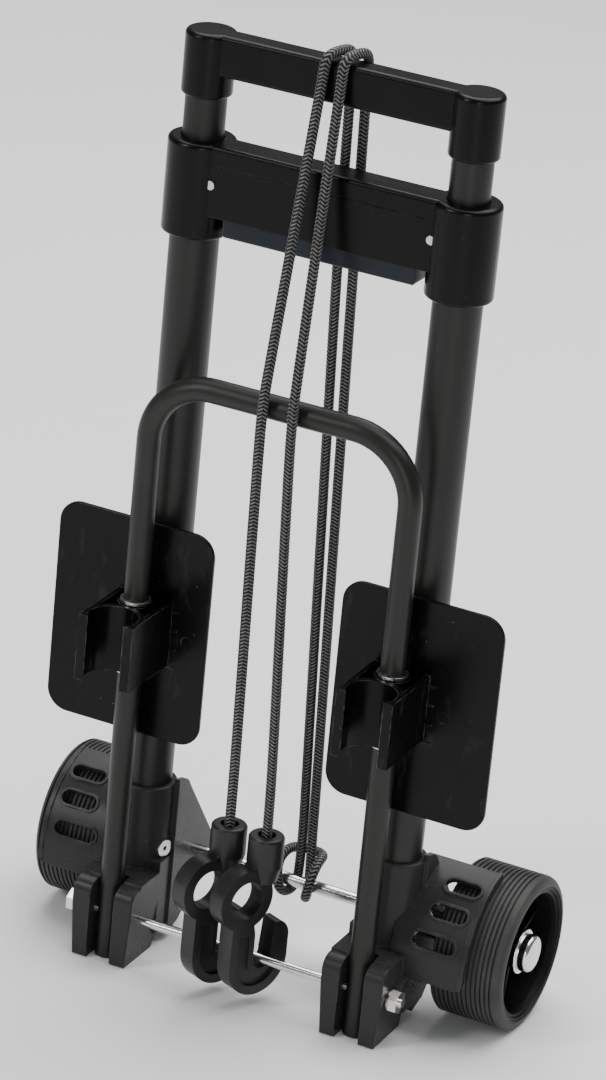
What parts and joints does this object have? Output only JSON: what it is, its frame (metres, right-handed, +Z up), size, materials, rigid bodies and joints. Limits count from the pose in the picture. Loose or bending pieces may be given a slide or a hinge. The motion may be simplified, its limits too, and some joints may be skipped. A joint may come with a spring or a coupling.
{
  "type": "folding platform cart",
  "caption": "Folding luggage cart stored upright: telescoping twin-tube handle, fold-down U platform with turning plastic wings, two guarded wheels, elastic cord with hooks.",
  "frame": {"origin": "on the floor under the middle of the cart's width and folded depth", "axes": "+Z up along the uprights, -Y to the front where the platform folds down, +X to the cart's right seen from the front"},
  "size_m": [0.3384, 0.1585, 0.6002],
  "materials": {
    "painted_tube": "satin black powder coat",
    "satin_plastic": "satin black moulded plastic",
    "moulded_plastic": "slightly glossy recycled black plastic",
    "button_plastic": "satin blue-black plastic",
    "wheel_plastic": "black plastic",
    "hook_plastic": "smooth black nylon",
    "tread_rubber": "black tread",
    "zinc_steel": "zinc plated",
    "bright_steel": "bright drawn steel",
    "braided_cord": "black braided sleeve with a grey fleck"
  },
  "bodies": {
    "frame": {"outer_tube_left": "painted_tube", "outer_tube_right": "painted_tube", "guide_bush_left": "moulded_plastic", "guide_bush_right": "moulded_plastic", "yoke": "satin_plastic", "yoke_cover": "satin_plastic", "yoke_screws": "zinc_steel", "bracket_left": "moulded_plastic", "bracket_right": "moulded_plastic", "bracket_rivets": "zinc_steel", "rear_axle": "bright_steel", "axle_caps": "bright_steel", "pivot_rod": "bright_steel", "pivot_nut": "zinc_steel", "pivot_washers": "zinc_steel", "hook_left": "hook_plastic", "hook_right": "hook_plastic", "elastic_cord": "braided_cord"},
    "handle": {"handle_grip": "satin_plastic", "inner_tube_left": "painted_tube", "inner_tube_right": "painted_tube", "tube_glides": "moulded_plastic", "handle_pins": "zinc_steel"},
    "platform": {"u_frame": "painted_tube", "leg_plugs": "moulded_plastic", "leg_rings": "zinc_steel"},
    "wing_l": {"wing_left": "moulded_plastic"},
    "wing_r": {"wing_right": "moulded_plastic"},
    "wheel_l": {"rim_left": "wheel_plastic", "tyre_left": "tread_rubber"},
    "wheel_r": {"rim_right": "wheel_plastic", "tyre_right": "tread_rubber"},
    "release": {"release_bar": "button_plastic"},
    "pin_l": {"lock_pin_left": "zinc_steel"},
    "pin_r": {"lock_pin_right": "zinc_steel"}
  },
  "joints": [
    {"name": "handle_slide", "type": "slide", "parent": "frame", "child": "handle", "axis": [0, 0, 1], "range_m": [0, 0.38], "deforming": ["elastic_cord"]},
    {"name": "platform_fold", "type": "hinge", "parent": "frame", "child": "platform", "pos_m": [0, -0.04175, 0.03], "axis": [1, 0, 0], "range_deg": [0, 87], "deforming": ["elastic_cord"]},
    {"name": "wing_left_turn", "type": "hinge", "parent": "platform", "child": "wing_l", "pos_m": [-0.0862, -0.04175, 0.218], "axis": [0, 0, 1], "range_deg": [-30, 30]},
    {"name": "wing_right_turn", "type": "hinge", "parent": "platform", "child": "wing_r", "pos_m": [0.0862, -0.04175, 0.218], "axis": [0, 0, 1], "range_deg": [-30, 30]},
    {"name": "wheel_left_spin", "type": "hinge", "parent": "frame", "child": "wheel_l", "pos_m": [-0.1376, 0.03025, 0.049], "axis": [1, 0, 0], "continuous": true},
    {"name": "wheel_right_spin", "type": "hinge", "parent": "frame", "child": "wheel_r", "pos_m": [0.1376, 0.03025, 0.049], "axis": [1, 0, 0], "continuous": true},
    {"name": "release_lift", "type": "slide", "parent": "frame", "child": "release", "axis": [0, 0, 1], "range_m": [0, 0.006], "stiffness_N_per_m": 500, "springref_m": -0.004},
    {"name": "lock_pin_left_draw", "type": "slide", "parent": "frame", "child": "pin_l", "axis": [1, 0, 0], "range_m": [0, 0.004]},
    {"name": "lock_pin_right_draw", "type": "slide", "parent": "frame", "child": "pin_r", "axis": [-1, 0, 0], "range_m": [0, 0.004]}
  ],
  "couplings": [
    {"joint": "lock_pin_left_draw", "follows": "release_lift", "ratio": 0.66667},
    {"joint": "lock_pin_right_draw", "follows": "release_lift", "ratio": 0.66667}
  ]
}
